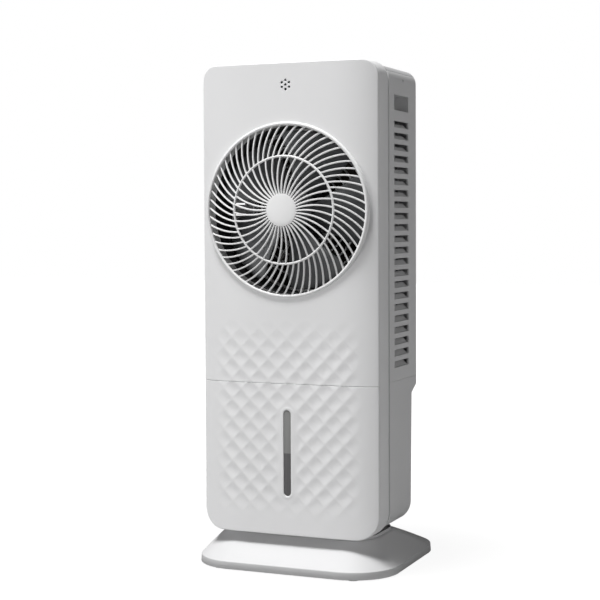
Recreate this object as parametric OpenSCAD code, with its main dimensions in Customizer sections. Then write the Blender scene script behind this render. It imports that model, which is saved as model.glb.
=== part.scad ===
/* [Body] */
// Width across the front frame
body_w = 282; // [268:2:300]
// Height of the body from its underside to its top
body_h = 700; // [690:2:730]
// Height of the body's underside above the floor
body_z = 54; // [48:1:66]
// Distance from the centre of the base forward to the edge of the front cover
body_front = 105; // [98:1:112]
// Depth from the edge of the front cover to the rear face of the cabinet
body_d = 176; // [170:1:190]
// Radius of the body's lower corners seen from the front
corner_r = 34; // [26:1:40]
// Radius of the body's upper corners seen from the front
top_corner_r = 24; // [20:1:34]
// Height of the parting line above the body's underside
part_h = 226; // [215:1:232]
// Gap shown between the two front covers
seam = 0.8; // [0.4:0.1:1.2]

/* [Front covers] */
// Forward bow of the covers from their side edges to the centre line
bow = 12; // [8:1:18]
// Thickness of the covers at their side edges
cover_edge = 3; // [2:0.5:5]
// Wall of the covers
cover_wall = 2.5; // [2:0.25:3]
// Width of the solid border round each cover
cover_border = 5; // [4:0.5:8]
// Width of one diamond of the relief
diamond_w = 30; // [24:1:36]
// Height of one diamond of the relief
diamond_h = 31; // [26:1:38]
// Depth of the dished diamonds
diamond_depth = 1.4; // [0.8:0.1:1.6]
// Height of the centres of the lowest row of diamonds above the body's underside
relief_z = 55; // [50:1:65]
// Number of rows of diamonds
relief_rows = 17; // [14:1:18]

/* [Front frame] */
// Depth of the proud band round the body
band_d = 41; // [36:1:46]
// Wall of the band
band_wall = 4; // [3:0.5:5]
// Width of the flange that the covers seat on
flange_w = 11; // [9:0.5:14]
// Thickness of that flange
flange_t = 3; // [2:0.5:4]

/* [Cabinet] */
// How far the cabinet's sides lie inside the band
cabinet_inset = 3; // [2:0.5:4]
// Wall of the cabinet and the tank housing
cabinet_wall = 3; // [2.5:0.25:3.5]
// Depth of the shadow groove between band and cabinet
groove_d = 12; // [8:1:16]
// Height of the top cap
cap_h = 13; // [11:1:16]
// Number of louvres on each side
louvre_count = 22; // [16:1:23]
// Pitch of the louvres
louvre_pitch = 17.1; // [16:0.1:17.5]
// Distance from the top cap to the upper edge of the first louvre
louvre_top = 72; // [68:1:78]
// Height of one louvre slot
louvre_h = 9.5; // [7:0.5:11]
// Length of the louvre slots and the grip openings
louvre_len = 65; // [50:1:72]
// Slope of the louvre fins
louvre_slope = 40; // [25:1:50]
// Distance from the top cap to the upper edge of the grip openings
grip_top = 33; // [30:1:36]
// Height of the grip openings
grip_h = 23; // [20:1:26]
// Depth of the grip cups
grip_depth = 24; // [18:1:28]

/* [Fan] */
// Height of the fan's centre above the body's underside
fan_h = 482.7; // [470:0.5:495]
// Distance from the grille's outer ring to the body's side
ring_margin = 11.5; // [10:0.5:18]
// Radial width of the grille's outer ring
ring_w = 5; // [4:0.5:6]
// How far the ring stands in front of the cover at its centre line
ring_proud = 3; // [2:0.5:5]
// Forward rise of the domed spokes from ring to hub
dome_rise = 18; // [12:1:22]
// Radius of the grille's hub disc
hub_r = 24; // [20:1:28]
// Radius of the centre line of the grille's middle ring
mid_r = 79; // [70:1:88]
// Width of the middle ring
mid_w = 3.4; // [2.6:0.2:4.2]
// Number of spokes between hub and middle ring
inner_spokes = 40; // [24:1:44]
// Number of spokes between middle and outer ring
outer_spokes = 60; // [36:1:66]
// Width of one spoke
spoke_w = 2.6; // [2:0.2:3]
// Thickness of the domed shell that the spokes are cut from
spoke_t = 3.6; // [2.6:0.2:4.4]
// Radius of the spokes' arcs
spoke_arc_r = 104; // [90:1:130]
// Depth of the fan duct
duct_d = 54; // [48:1:62]
// Gap between blade tips and duct
tip_gap = 5; // [3:0.5:8]
// Number of fan blades
blade_count = 5; // [3:1:7]
// Radius of the fan's hub
rotor_hub_r = 30; // [24:1:36]
// Axial depth of the fan
rotor_d = 34; // [26:1:40]
// Radius of the motor
motor_r = 38; // [32:1:42]
// Length of the motor
motor_len = 46; // [36:1:52]
// Radius of the motor's shaft
shaft_r = 4; // [3:0.5:5]
// Radial running clearance of the shaft
run_gap = 0.05; // [0.02:0.01:0.1]

/* [Tank] */
// Clear gap beside the tank in its housing
tank_gap = 2; // [1.5:0.5:3]
// Height of the tank
tank_h = 188; // [170:2:190]
// Wall of the tank
tank_wall = 2.5; // [2:0.25:3]
// How far the tank housing's rear wall lies in front of the cabinet's at its top
tank_step = 22; // [16:1:26]
// How far that wall leans forward down to its foot
tank_lean = 6; // [3:0.5:9]
// Height of the overhanging lip below the parting line
lip_h = 13; // [10:1:16]
// Height of the chamfer below the lip
lip_chamfer = 12; // [10:1:16]
// Width of the level window
window_w = 12; // [9:0.5:14]
// Height of the level window
window_h = 128; // [110:2:136]
// Height of the window's centre above the body's underside
window_z = 123; // [118:1:128]

/* [Base] */
// Width of the base
base_w = 316; // [312:2:330]
// Depth of the base
base_d = 284; // [280:2:300]
// Corner radius of the base
base_r = 71; // [60:1:80]
// Height of the base's upright rim above its lower edge
rim_h = 11; // [9:0.5:14]
// Wall of the base cover
base_wall = 3; // [2.5:0.25:4]
// Height of the rubber feet below the rim
foot_gap = 2; // [1.5:0.5:3]
// Radius of the rubber feet
foot_r = 11; // [8:0.5:13]

/* [Rear and cooling pad] */
// Distance from the rear grille to the body's side
rear_side = 30; // [28:1:40]
// Height of the rear grille's lower edge above the parting line
rear_sill = 30; // [26:1:45]
// Distance from the rear grille's upper edge to the top cap
rear_head = 39; // [36:1:60]
// Pitch of the rear grille's bars
rear_pitch = 14; // [12:0.5:18]
// Thickness of the cooling pad
pad_t = 36; // [28:1:38]
// Wall of the trays and the pad frame
tray_wall = 2.5; // [2:0.25:3]

/* [Controls] */
// Radius of the push buttons
button_r = 6; // [5:0.5:7]
// Distance between neighbouring buttons
button_pitch = 22; // [18:1:26]
// Travel of the push buttons
button_travel = 1.2; // [0.8:0.1:1.5]
// Clearance of parts that slide or are fitted by hand
fit_gap = 0.3; // [0.2:0.05:0.5]

/* [Hidden] */

$fn = 96;
big = 2000;
nib = 0.01;

// Heights
part_z = body_z + part_h;
top_z = body_z + body_h;
cap_z = top_z - cap_h;
fan_z = body_z + fan_h;
deck_t = cabinet_wall;

// Depths, along Y, with the front at negative Y
edge_y = -body_front;
frame_y = edge_y + cover_edge;
flange_y = frame_y + flange_t;
band_y = edge_y + band_d;
cabinet_y = band_y + groove_d;
rear_y = edge_y + body_d;
rear_in = rear_y - cabinet_wall;
neck_y = band_y - 8;

// Bowed face: an upright cylinder through both edges and the bowed centre line
bow_r = (pow(body_w / 2, 2) + bow * bow) / (2 * bow);
bow_axis_y = edge_y - bow + bow_r;
apex_y = edge_y - bow;

// Insets from the band's outline, seen from the front
neck_inset = band_wall + 0.5;
neck_in = neck_inset + cabinet_wall;
cabinet_in = cabinet_inset + cabinet_wall;
side_x = body_w / 2 - cabinet_inset;
side_in = side_x - cabinet_wall;

// Fan train
ring_r = body_w / 2 - ring_margin;
grille_r = ring_r - ring_w;
ring_y = apex_y - ring_proud;
duct_wall = 3;
duct_in = grille_r - 0.5;
duct_out = duct_in + duct_wall;
duct_y = flange_y;
duct_end = duct_y + duct_wall + duct_d;
guard_t = 5;
motor_flange_t = 4;
motor_flange_r = motor_r + 9;
motor_y = duct_end - motor_flange_t - 8;
rotor_end = motor_y - 3;
rotor_y = rotor_end - rotor_d;
dome_r = (pow(grille_r, 2) + pow(dome_rise, 2)) / (2 * dome_rise);
dome_tip = ring_y + 2 - dome_rise;

// Tank and its housing
tank_top_y = rear_y - tank_step;
tank_foot_y = tank_top_y - tank_lean;
tank_z = body_z + neck_in + tank_gap;
tank_top = tank_z + tank_h;
tank_front = flange_y + 3;
lip_z = part_z - lip_h;
chamfer_z = lip_z - lip_chamfer;
tunnel_z = chamfer_z - 2;
mouth_y = tank_foot_y - cabinet_wall - 4;
rail_w = 10;
rail_x = side_in - 55;

// Pad, trays and rear opening
rear_w = body_w - 2 * rear_side;
rear_z = part_z + rear_sill;
rear_top = cap_z - rear_head;
rear_h = rear_top - rear_z;
pad_y = rear_in - 12 - pad_t;
pad_x = rear_w / 2 - 4;
tray_z = part_z + 14;
pad_top = rear_top - 6;

// Louvres
louvre_y = (cabinet_y + rear_y) / 2 - 6.5;
louvre_z = cap_z - louvre_top;
grip_z = cap_z - grip_top - grip_h;

// Screws and cord inlet
side_screw_y = louvre_y + 8;
side_screw_z = cap_z - 10;
side_screw_seat = side_in - 1.4;
inlet_x = side_in - 22;
inlet_z = part_z + 16;
inlet_r = 6;

// Receiver behind the round holes
receiver_z = top_z - 33.5;
receiver_r = 6.6;
hole_r = 1.9;

// Pits of the relief
pit_ridge = 0.7;
pit_lift = 0.4;

// Rear guard
guard_rings = [for (i = [0:3]) motor_flange_r + 12 + 14 * i];
rear_gap = 0.4;

// Base
neck_w = body_w - 34;
neck_front = edge_y + 8;
neck_rear = tank_foot_y - 4;
skirt_z = body_z - 4;
plate_t = 3;
base_posts = [for (x = [-1, 1], y = [-1, 1]) [x * (base_w / 2 - 36), y * (base_d / 2 - 36)]];
foot_spots = [for (x = [-1, 1], y = [-1, 1]) [x * (base_w / 2 - 52), y * (base_d / 2 - 20)]];

// Tank grip, pump and hose
grip_w = 90;
tank_grip_h = 26;
tank_grip_z = tank_top - 52;
cup_wall = 2;
pump_h = 44;
spigot_h = 9;
hose_r = 5;
hose_in = 3.5;
hose_x = pad_x - 7;
hose_y = pad_y - 8 - hose_r - 1.5;
hose_top = pad_top + 22;
hose_bend = 14;
hose_foot = tank_top + 1;
drain_x = -60;
drain_y = pad_y + pad_t / 2;
drain_r = 8;

// Controls
cap_top = top_z - cabinet_inset;
pocket_y = cabinet_y + 26;
pocket_z = cap_top - 1.5;
cap_in = cap_top - cabinet_wall;
board_z = cap_in - 10;
flange_top = cap_in - 0.1;
switch_z = board_z + 4.7;
lens_w = 2.6 * button_pitch;
lens_d = 8;
lens_y = pocket_y + 5;
lens_t = 1.1;
button_x = [-1.5 * button_pitch, -0.5 * button_pitch, 0.5 * button_pitch, 1.5 * button_pitch];

// ---------- shared shapes ----------

// Rectangle with round corners, centred
module round_rect(w, h, r) {
    square([w - 2 * r, h], center = true);
    square([w, h - 2 * r], center = true);
    for (x = [-1, 1], y = [-1, 1])
        translate([x * (w / 2 - r), y * (h / 2 - r)]) circle(r);
}

// Extrudes an outline drawn as seen from the front, from y0 back to y1
module along_y(y0, y1) {
    translate([0, y1, 0]) rotate([90, 0, 0]) linear_extrude(y1 - y0) children();
}

// Whole outline of the body seen from the front, moved inwards by inset
module body_outline(inset) {
    half_w = body_w / 2 - inset;
    low_r = corner_r - inset;
    top_r = top_corner_r - inset;
    translate([-half_w, body_z + corner_r]) square([2 * half_w, body_h - corner_r - top_corner_r]);
    translate([low_r - half_w, body_z + inset]) square([2 * (half_w - low_r), corner_r]);
    translate([top_r - half_w, top_z - top_corner_r - inset])
        square([2 * (half_w - top_r), top_corner_r]);
    for (s = [-1, 1]) {
        translate([s * (half_w - low_r), body_z + corner_r]) circle(low_r);
        translate([s * (half_w - top_r), top_z - top_corner_r]) circle(top_r);
    }
}

module upper_outline(inset, z_low = part_z) {
    intersection() {
        body_outline(inset);
        translate([-big / 2, z_low]) square([big, big]);
    }
}

module lower_outline(inset, z_high = part_z) {
    intersection() {
        body_outline(inset);
        translate([-big / 2, z_high - big]) square([big, big]);
    }
}

// Upright cylinder whose front is the bowed face moved back by depth
module bowed_solid(depth) {
    translate([0, bow_axis_y, 0]) cylinder(h = top_z + 10, r = bow_r - depth, $fn = 720);
}

// Turns a shape drawn round the Z axis to lie round the fan's axis, facing forward from y
module on_fan_axis(y) {
    translate([0, y, fan_z]) rotate([90, 0, 0]) children();
}

// Ring round the fan's axis from y0 back to y1
module fan_ring(y0, y1, r_out, r_in) {
    on_fan_axis(y1) difference() {
        cylinder(h = y1 - y0, r = r_out);
        translate([0, 0, -1]) cylinder(h = y1 - y0 + 2, r = r_in);
    }
}

// Slot with round ends seen from the front
module window_slot(w, h) {
    translate([0, body_z + window_z]) {
        square([w, h - w], center = true);
        for (s = [-1, 1]) translate([0, s * (h - w) / 2]) circle(w / 2);
    }
}

function bow_face_y(x) = bow_axis_y - sqrt(bow_r * bow_r - x * x);

// ---------- base ----------

module base_outline(inset) {
    round_rect(base_w - 2 * inset, base_d - 2 * inset, base_r - inset);
}

// Solid of the base: upright rim, rounded shoulder and slope up to the neck
module base_solid(inset) {
    translate([0, 0, foot_gap]) linear_extrude(rim_h) base_outline(inset);
    hull() {
        translate([0, 0, foot_gap + rim_h - 1]) linear_extrude(1) base_outline(inset + 0.3);
        translate([0, 0, foot_gap + rim_h + 2]) linear_extrude(1) base_outline(inset + 2.8);
        translate([0, (neck_front + neck_rear) / 2, skirt_z - 2 - inset]) linear_extrude(2)
            round_rect(neck_w - 2 * inset, neck_rear - neck_front - 2 * inset, 44 - inset, $fn = 64);
    }
}

module base_cover() {
    color("white") {
        difference() {
            base_solid(0);
            translate([0, 0, -nib]) base_solid(base_wall);
            translate([0, 0, -nib]) linear_extrude(foot_gap + rim_h) base_outline(base_wall);
        }
        // neck that carries the band at the front and the tank housing behind it
        difference() {
            translate([0, (neck_front + neck_rear) / 2, skirt_z - 1])
                linear_extrude(body_z + cabinet_inset - skirt_z + 1) difference() {
                    round_rect(neck_w - 8, neck_rear - neck_front - 8, 40);
                    round_rect(neck_w - 16, neck_rear - neck_front - 16, 36);
                }
            translate([-base_w / 2, -base_d, body_z]) cube([base_w, base_d + cabinet_y, 20]);
        }
        // screw posts down to the base plate
        difference() {
            intersection() {
                base_solid(0);
                for (p = base_posts) translate([p[0], p[1], foot_gap + plate_t]) cylinder(h = body_z, r = 5);
            }
            for (p = base_posts) translate([p[0], p[1], foot_gap]) cylinder(h = 15, r = 1.8);
        }
    }
}

module base_plate() {
    color("gainsboro") translate([0, 0, foot_gap]) difference() {
        linear_extrude(plate_t) base_outline(base_wall + fit_gap);
        for (p = base_posts) translate([p[0], p[1], -1]) cylinder(h = plate_t + 2, r = 2);
        for (p = foot_spots) translate([p[0], p[1], -1]) cylinder(h = 2, r = foot_r + fit_gap);
    }
}

module rubber_feet() {
    color("dimgray") for (p = foot_spots) translate([p[0], p[1], 0])
        cylinder(h = foot_gap + 1, r = foot_r);
}

module base_screws() {
    color("silver") for (p = base_posts) translate([p[0], p[1], foot_gap]) {
        translate([0, 0, -1.2]) cylinder(h = 1.2, r = 3.5);
        translate([0, 0, -0.2]) cylinder(h = 10, r = 1.6);
    }
}

// ---------- front frame ----------

// Band with a flange behind its front edge
module upper_band() {
    difference() {
        along_y(frame_y, band_y) upper_outline(0);
        along_y(frame_y - 1, band_y + 1) upper_outline(band_wall, part_z - 1);
    }
    along_y(frame_y, flange_y) difference() {
        upper_outline(band_wall - 1);
        upper_outline(band_wall + flange_w, part_z + flange_w);
    }
}

module front_frame() {
    color("whitesmoke") difference() {
        upper_band();
        on_fan_axis(flange_y + 1) cylinder(h = 20, r = ring_r + fit_gap);
    }
}

module lower_frame() {
    color("whitesmoke") {
        difference() {
            along_y(frame_y, band_y) lower_outline(0);
            along_y(frame_y - 1, band_y + 1) lower_outline(band_wall, part_z + 1);
        }
        along_y(frame_y, flange_y) difference() {
            lower_outline(band_wall - 1);
            lower_outline(band_wall + flange_w, part_z - flange_w);
        }
    }
}

// ---------- front covers ----------

// Bowed shell with a solid border, between two heights
module bowed_panel(z_low, z_high) {
    difference() {
        intersection() {
            along_y(apex_y - 1, frame_y) intersection() {
                body_outline(0.6);
                translate([-big / 2, z_low]) square([big, z_high - z_low]);
            }
            bowed_solid(0);
        }
        intersection() {
            along_y(apex_y - 1, frame_y + 1) intersection() {
                body_outline(cover_border);
                translate([-big / 2, z_low + cover_border])
                    square([big, z_high - z_low - 2 * cover_border]);
            }
            bowed_solid(cover_wall);
        }
    }
}

// Four-sided pit in the bowed face, deep in its middle and gone at its edges
module diamond_pit(x, z, depth) {
    translate([0, bow_axis_y, z]) rotate([0, 0, asin(x / bow_r)]) translate([0, depth - bow_r, 0])
        rotate([90, 0, 0]) scale([1, diamond_h / diamond_w, 1])
            cylinder(h = depth + pit_lift, r1 = 0, r2 = (diamond_w / 2 - pit_ridge) * (1 + pit_lift / depth),
                     $fn = 4);
}

// Staggered pits of one cover, shallower towards the edges of the field
module diamond_field(z_low, z_high) {
    for (row = [0:relief_rows - 1], i = [-4:3]) {
        x = (i + (row % 2 == 0 ? 1 : 0.5)) * diamond_w;
        z = body_z + relief_z + row * diamond_h / 2;
        fade = min(1, (row + 1) / 3, (relief_rows - row) / 6, (body_w / 2 - 6 - abs(x)) / 50);
        clear = abs(x) > window_w / 2 + diamond_w / 2
            || abs(z - body_z - window_z) > (window_h + diamond_h) / 2;
        if (z + diamond_h / 2 < z_high && z - diamond_h / 2 > z_low && clear
            && abs(x) < body_w / 2 - 25) diamond_pit(x, z, diamond_depth * fade);
    }
}

module front_cover() {
    color("white") difference() {
        union() {
            bowed_panel(part_z + seam / 2, top_z + 1);
            // posts for the receiver board
            for (x = [-1, 1]) translate([x * 14, apex_y + 8, receiver_z]) rotate([90, 0, 0])
                cylinder(h = 7, r = 2.5);
        }
        diamond_field(part_z + seam / 2, top_z);
        on_fan_axis(frame_y + 1) cylinder(h = 40, r = ring_r + fit_gap);
        // round holes in front of the receiver
        translate([0, apex_y + 5, receiver_z]) rotate([90, 0, 0]) {
            cylinder(h = 10, r = hole_r);
            for (a = [30:60:330]) translate([receiver_r * cos(a), receiver_r * sin(a), 0])
                cylinder(h = 10, r = hole_r);
        }
    }
}

module receiver_board() {
    color("seagreen") translate([-18, apex_y + 8, receiver_z - 8]) cube([36, 1.6, 16]);
}

module lower_front_panel() {
    color("white") difference() {
        bowed_panel(body_z - 1, part_z - seam / 2);
        diamond_field(body_z, part_z - seam / 2);
        along_y(apex_y - 2, apex_y + 6) window_slot(window_w, window_h);
    }
}

module level_window() {
    color("slategray", 0.7) {
        along_y(apex_y - 0.8, apex_y + cover_wall + 0.2)
            window_slot(window_w - 2 * fit_gap, window_h - 2 * fit_gap);
        along_y(apex_y + cover_wall + 0.12, apex_y + cover_wall + 1.6)
            window_slot(window_w + 6, window_h + 6);
    }
}

// ---------- grille ----------

// Arc centre of a spoke that leaves radius r0 at a given angle to the radius
function arc_centre(r0, lean) = [r0 - spoke_arc_r * sin(lean), -spoke_arc_r * cos(lean)];

// Polar angle at which the arc about c reaches radius r
function arc_angle(c, r) =
    atan2(c[1], c[0]) + acos((r * r + c * c - spoke_arc_r * spoke_arc_r) / (2 * r * norm(c)));

// One curved spoke from radius r0 out to r1, as an outline seen from the front
module spoke_outline(c, r0, r1, steps = 5) {
    path = [for (i = [0:steps]) let (r = r0 + (r1 - r0) * i / steps, a = arc_angle(c, r))
            [r * cos(a), r * sin(a)]];
    out = [for (p = path) p + (p - c) / norm(p - c) * spoke_w / 2];
    in = [for (i = [steps:-1:0]) path[i] - (path[i] - c) / norm(path[i] - c) * spoke_w / 2];
    polygon(concat(out, in));
}

// Domed shell between two spheres about the same centre
module dome_shell() {
    on_fan_axis(dome_tip + dome_r) difference() {
        sphere(r = dome_r, $fn = 360);
        sphere(r = dome_r - spoke_t, $fn = 360);
    }
}

module front_grille() {
    inner_c = arc_centre(36, 0);
    outer_c = arc_centre(mid_r, 21);
    color("white") difference() {
        intersection() {
            along_y(dome_tip - 1, ring_y + 12) translate([0, fan_z]) {
                for (i = [0:inner_spokes - 1]) rotate(i * 360 / inner_spokes)
                    spoke_outline(inner_c, hub_r - 1.5, mid_r);
                for (i = [0:outer_spokes - 1]) rotate(i * 360 / outer_spokes)
                    spoke_outline(outer_c, mid_r, grille_r + 1.5);
                circle(hub_r);
                difference() {
                    circle(mid_r + mid_w / 2);
                    circle(mid_r - mid_w / 2);
                }
            }
            dome_shell();
        }
        // seat of the hub cap
        on_fan_axis(dome_tip + 1) cylinder(h = 5, r = hub_r - 4);
    }
    // outer ring with a rounded front edge
    color("white") on_fan_axis(0) rotate_extrude($fn = 180) union() {
        translate([grille_r, -flange_y]) square([ring_w, flange_y - ring_y - ring_w / 2]);
        translate([grille_r + ring_w / 2, -ring_y - ring_w / 2]) circle(ring_w / 2, $fn = 48);
    }
}

module hub_cap() {
    color("white") on_fan_axis(dome_tip + 1) cylinder(h = 1.4, r = hub_r - 4 - fit_gap / 2);
}

// ---------- fan ----------

module fan_duct() {
    color("dimgray") difference() {
        union() {
            along_y(duct_y, duct_y + duct_wall) intersection() {
                upper_outline(neck_in + 1, part_z + 12);
                translate([0, fan_z]) square(2 * (body_w / 2 - neck_in - 1), center = true);
            }
            fan_ring(duct_y, duct_end, duct_out, duct_in - nib);
        }
        on_fan_axis(duct_end + 1) cylinder(h = duct_d + 20, r = duct_in);
    }
}

module motor_screw_holes() {
    on_fan_axis(duct_end + guard_t + 1) for (a = [45:90:315]) rotate(a)
        translate([motor_r + 5, 0, 0]) cylinder(h = 20, r = 2);
}

module rear_guard() {
    color("white") {
        fan_ring(duct_end, duct_end + guard_t, duct_out, duct_in - 4);
        difference() {
            fan_ring(duct_end, duct_end + guard_t, motor_flange_r + 2, motor_r + 1);
            motor_screw_holes();
        }
        for (r = guard_rings) fan_ring(duct_end, duct_end + guard_t - 1, r + 1.2, r - 1.2);
        for (a = [0:30:330]) on_fan_axis(duct_end + guard_t) rotate(a)
            translate([motor_r + 3, -1.6, 0]) cube([duct_in - motor_r - 5, 3.2, guard_t - 0.5]);
    }
}

// Blade section at radius r: a slanted plate swept from hub to tip
function blade_point(r, u, side) =
    let (chord = 5 + 0.98 * r,
         twist = atan((rotor_d - 8) / chord),
         x = (u - 0.5) * chord,
         camber = 5 * (1 - pow(2 * u - 1, 2)),
         lift = x * sin(twist) + camber * cos(twist) + side * 0.9,
         a = (x * cos(twist) - camber * sin(twist)) / r * 57.3 + (r - rotor_hub_r) * 0.12)
    [r * cos(a), r * sin(a), lift];

module blade(r0, r1, ru = 6, uu = 8) {
    pts = [for (side = [1, -1], i = [0:ru], j = [0:uu])
           blade_point(r0 + (r1 - r0) * i / ru, j / uu, side)];
    n = (ru + 1) * (uu + 1);
    w = uu + 1;
    top = [for (i = [0:ru - 1], j = [0:uu - 1], k = [0, 1]) k == 0
           ? [i * w + j, (i + 1) * w + j, (i + 1) * w + j + 1]
           : [i * w + j, (i + 1) * w + j + 1, i * w + j + 1]];
    under = [for (f = top) [f[2] + n, f[1] + n, f[0] + n]];
    rim = concat([for (j = [0:uu]) j], [for (i = [1:ru]) i * w + uu],
                 [for (j = [uu - 1:-1:0]) ru * w + j], [for (i = [ru - 1:-1:1]) i * w]);
    m = len(rim);
    wall = [for (k = [0:m - 1], s = [0, 1]) let (p = rim[k], q = rim[(k + 1) % m]) s == 0
            ? [p, q, q + n] : [p, q + n, p + n]];
    polyhedron(points = pts, faces = [for (f = concat(top, under, wall)) [f[2], f[1], f[0]]]);
}

module fan_rotor() {
    tip_r = duct_in - tip_gap;
    color("darkslategray") on_fan_axis(rotor_end) difference() {
        union() {
            cylinder(h = rotor_d, r = rotor_hub_r);
            for (i = [0:blade_count - 1]) rotate(i * 360 / blade_count - 10)
                translate([0, 0, rotor_d / 2]) blade(rotor_hub_r - 4, tip_r);
        }
        translate([0, 0, -1]) cylinder(h = rotor_d + 2, r = shaft_r + run_gap);
        translate([0, 0, -1]) difference() {
            cylinder(h = rotor_d - 4, r = rotor_hub_r - 3);
            cylinder(h = rotor_d - 4, r = shaft_r + 5);
        }
    }
}

module fan_nut() {
    color("silver") on_fan_axis(rotor_y) difference() {
        cylinder(h = 7, r = 9, $fn = 6);
        translate([0, 0, -1]) cylinder(h = 6, r = shaft_r + run_gap);
    }
}

module motor_shaft() {
    color("silver") on_fan_axis(motor_y + 22) cylinder(h = motor_y + 22 - rotor_y + 4.5, r = shaft_r);
}

module fan_motor() {
    color("gray") difference() {
        union() {
            fan_ring(motor_y, motor_y + motor_len, motor_r, shaft_r + run_gap);
            fan_ring(duct_end - motor_flange_t, duct_end, motor_flange_r, motor_r - 1);
        }
        motor_screw_holes();
    }
}

module motor_screws() {
    color("silver") on_fan_axis(duct_end - motor_flange_t) for (a = [45:90:315]) rotate(a)
        translate([motor_r + 5, 0, 0]) {
            cylinder(h = 2, r = 3.4);
            translate([0, 0, -motor_flange_t - 4]) cylinder(h = motor_flange_t + 5, r = 1.7);
        }
}

// ---------- cabinet ----------

// Sloped slot cut through both sides at height z
module side_slot(z, h) {
    for (s = [-1, 1]) translate([s * side_x, louvre_y, z - h / 2])
        cube([2 * (cabinet_wall + 2), louvre_len, h], center = true);
}

// Fin behind a slot, rising inwards from the slot's lower edge
module side_fin(z) {
    for (s = [0, 1]) mirror([s, 0, 0]) translate([side_in + 0.5, louvre_y - louvre_len / 2 - 2, z])
        rotate([0, 180 + louvre_slope, 0]) cube([10, louvre_len + 4, 1.4]);
}

module cabinet() {
    color("whitesmoke") difference() {
        union() {
            difference() {
                along_y(cabinet_y, rear_y) upper_outline(cabinet_inset);
                along_y(cabinet_y - 1, rear_in) upper_outline(cabinet_in, part_z - 1);
                // open top under the cap
                translate([-big / 2, cabinet_y - 1, cap_z]) cube([big, body_d, cap_h + 1]);
            }
            // neck that plugs into the band and shows as the groove
            along_y(neck_y, cabinet_y + 3) difference() {
                upper_outline(neck_inset);
                upper_outline(neck_in, part_z - 1);
            }
        }
        for (i = [0:louvre_count - 1]) side_slot(louvre_z - i * louvre_pitch, louvre_h);
        side_slot(grip_z + grip_h, grip_h);
        // opening for the rear grille
        translate([-rear_w / 2, rear_in - 1, rear_z]) cube([rear_w, cabinet_wall + 2, rear_h]);
        // screw holes
        for (s = [0, 1]) mirror([s, 0, 0]) translate([side_screw_seat, side_screw_y, side_screw_z])
            rotate([0, 90, 0]) {
                cylinder(h = 10, r = 2.2);
                translate([0, 0, -10]) cylinder(h = 11, r = 1.4);
            }
        translate([inlet_x, rear_y + 1, inlet_z]) rotate([90, 0, 0])
            cylinder(h = 10, r = inlet_r + fit_gap);
    }
    color("whitesmoke") for (i = [0:louvre_count - 1]) side_fin(louvre_z - i * louvre_pitch - louvre_h);
}

module side_screws() {
    color("dimgray") for (s = [0, 1]) mirror([s, 0, 0])
        translate([side_screw_seat, side_screw_y, side_screw_z]) rotate([0, 90, 0]) {
            cylinder(h = 1.6, r = 2.1);
            translate([0, 0, -8]) cylinder(h = 9, r = 1.3);
        }
}

module grip_cup() {
    difference() {
        union() {
            translate([side_in - grip_depth, louvre_y - louvre_len / 2 - cup_wall, grip_z - cup_wall])
                cube([grip_depth, louvre_len + 2 * cup_wall, grip_h + 2 * cup_wall]);
            // rim glued behind the cabinet's wall
            translate([side_in - 1.5, louvre_y - louvre_len / 2 - 6, grip_z - 3.4])
                cube([1.5, louvre_len + 12, grip_h + 6.8]);
        }
        translate([side_in - grip_depth + cup_wall, louvre_y - louvre_len / 2, grip_z])
            cube([grip_depth, louvre_len, grip_h]);
    }
}

module left_grip_cup() {
    color("gray") mirror([1, 0, 0]) grip_cup();
}

module right_grip_cup() {
    color("gray") grip_cup();
}

module cord_inlet() {
    color("dimgray") translate([inlet_x, rear_y + 5, inlet_z]) rotate([90, 0, 0]) difference() {
        union() {
            cylinder(h = 5, r = inlet_r + 2);
            cylinder(h = 5 + cabinet_wall + 2, r = inlet_r);
        }
        translate([0, 0, -1]) cylinder(h = 20, r = 3.2);
    }
}

// ---------- top ----------

module top_cap() {
    color("whitesmoke") difference() {
        union() {
            difference() {
                along_y(cabinet_y, rear_y) upper_outline(cabinet_inset, cap_z);
                along_y(cabinet_y - 1, rear_in) upper_outline(cabinet_in, cap_z - 1);
                // room for the neck
                along_y(cabinet_y - 1, cabinet_y + 3 + fit_gap)
                    upper_outline(neck_inset - fit_gap, cap_z - 1);
            }
            // posts for the control board
            for (x = [-1, 1], y = [-1, 1])
                translate([x * 2.4 * button_pitch, pocket_y + y * 12, board_z + 1.6])
                    cylinder(h = cap_in - board_z - 1, r = 3);
        }
        // shallow pocket round the controls
        translate([0, pocket_y, pocket_z]) linear_extrude(5)
            round_rect(6 * button_pitch, 34, 8);
        for (x = button_x) translate([x, pocket_y - 5, cap_in - 1])
            cylinder(h = 10, r = button_r + fit_gap);
        translate([-lens_w / 2 - fit_gap, lens_y - fit_gap, pocket_z - 0.8])
            cube([lens_w + 2 * fit_gap, lens_d + 2 * fit_gap, 5]);
    }
}

module display_lens() {
    color("black") translate([-lens_w / 2, lens_y, pocket_z - 0.8]) cube([lens_w, lens_d, lens_t]);
}

module control_board() {
    color("seagreen") {
        translate([-3 * button_pitch, pocket_y - 16, board_z]) cube([6 * button_pitch, 32, 1.6]);
        for (x = button_x) translate([x - 3, pocket_y - 8, board_z + 1.5]) cube([6, 6, 3.2]);
    }
}

module push_button(x) {
    color("lightgray") translate([x, pocket_y - 5, 0]) {
        translate([0, 0, flange_top - 1.5]) cylinder(h = cap_top - 0.2 - flange_top + 1.5, r = button_r);
        translate([0, 0, flange_top - 2]) cylinder(h = 2, r = button_r + 1.5);
        translate([0, 0, switch_z + button_travel + 0.2])
            cylinder(h = flange_top - 1.5 - switch_z - button_travel - 0.2, r = 2);
    }
}

module power_button() {
    push_button(button_x[0]);
}

module speed_button() {
    push_button(button_x[1]);
}

module cool_button() {
    push_button(button_x[2]);
}

module timer_button() {
    push_button(button_x[3]);
}

// ---------- cooling pad, trays and rear grille ----------

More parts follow.
